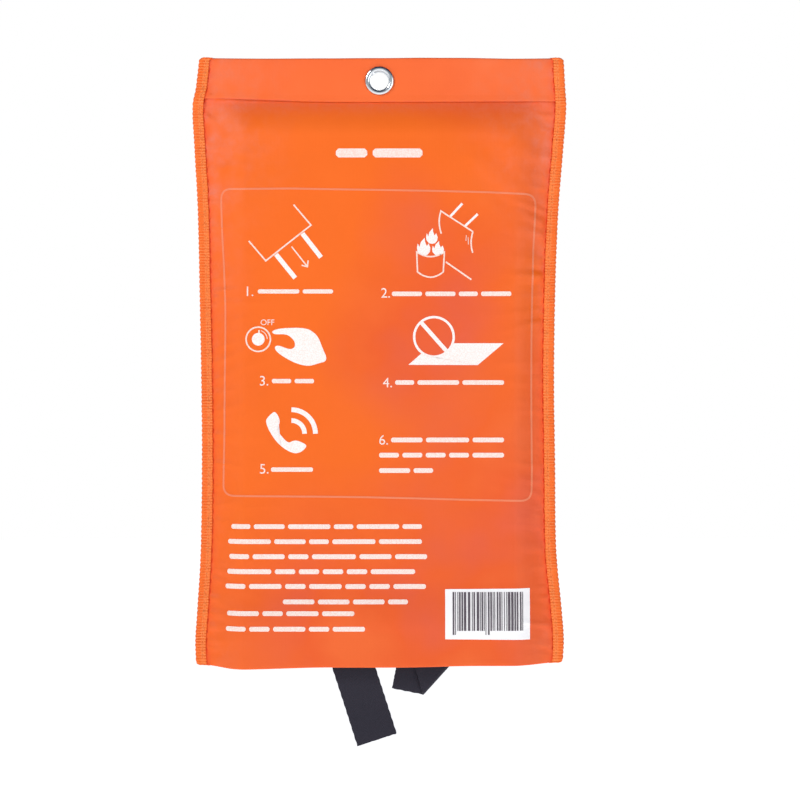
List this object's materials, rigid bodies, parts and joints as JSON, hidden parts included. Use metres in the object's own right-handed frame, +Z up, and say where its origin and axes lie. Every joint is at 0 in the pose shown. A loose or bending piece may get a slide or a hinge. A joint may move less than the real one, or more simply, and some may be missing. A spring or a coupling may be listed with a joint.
{
  "type": "fire blanket",
  "caption": "Folded glass-fibre fire blanket in a flat wall-hung fabric pouch with an eyelet, open at the bottom, with pull tapes that draw the blanket out.",
  "frame": {"origin": "centre of the eyelet's hole, in the mid plane of the sewn sides", "axes": "+Z up the hanging pouch, +Y towards the wall behind it, +X to the right as the printed front is seen"},
  "size_m": [0.186, 0.0184, 0.3434],
  "materials": {
    "printed_fabric": "smooth PVC-coated polyester, satin, printed",
    "plain_fabric": "smooth PVC-coated polyester, satin",
    "binding_tape": "ribbed woven binding tape, matt",
    "seam_thread": "twisted polyester thread",
    "tape_thread": "twisted polyester thread",
    "eyelet_steel": "nickel-plated pressed steel, bright",
    "hook_tape": "moulded nylon hooks, matt",
    "loop_tape": "brushed nylon loops, matt",
    "glass_cloth": "woven glass fibre, silky",
    "webbing": "woven polyester webbing, matt"
  },
  "bodies": {
    "pouch": {"front_panel": "printed_fabric", "rear_panel": "plain_fabric", "eyelet_flange": "eyelet_steel", "eyelet_washer": "eyelet_steel", "left_binding": "binding_tape", "left_front_seam": "seam_thread", "left_rear_seam": "seam_thread", "left_hook_patch": "hook_tape", "left_loop_patch": "loop_tape", "right_binding": "binding_tape", "right_front_seam": "seam_thread", "right_rear_seam": "seam_thread", "right_hook_patch": "hook_tape", "right_loop_patch": "loop_tape"},
    "blanket": {"blanket_cloth": "glass_cloth", "left_tape_root": "webbing", "right_tape_root": "webbing", "left_tape_stitching": "tape_thread", "right_tape_stitching": "tape_thread"},
    "left_tape": {"left_tape_end": "webbing"},
    "right_tape": {"right_tape_end": "webbing"}
  },
  "joints": [
    {"name": "blanket_slide", "type": "slide", "parent": "pouch", "child": "blanket", "axis": [0, 0, -1], "range_m": [0, 0.275]},
    {"name": "left_tape_swing", "type": "hinge", "parent": "blanket", "child": "left_tape", "pos_m": [-0.01129, -0.0018, -0.29745], "axis": [0.9511, 0, 0.309], "range_deg": [-85, 85]},
    {"name": "right_tape_swing", "type": "hinge", "parent": "blanket", "child": "right_tape", "pos_m": [0.02507, -0.0018, -0.2789], "axis": [0.9568, 0, 0.2907], "range_deg": [-15, 20]}
  ]
}
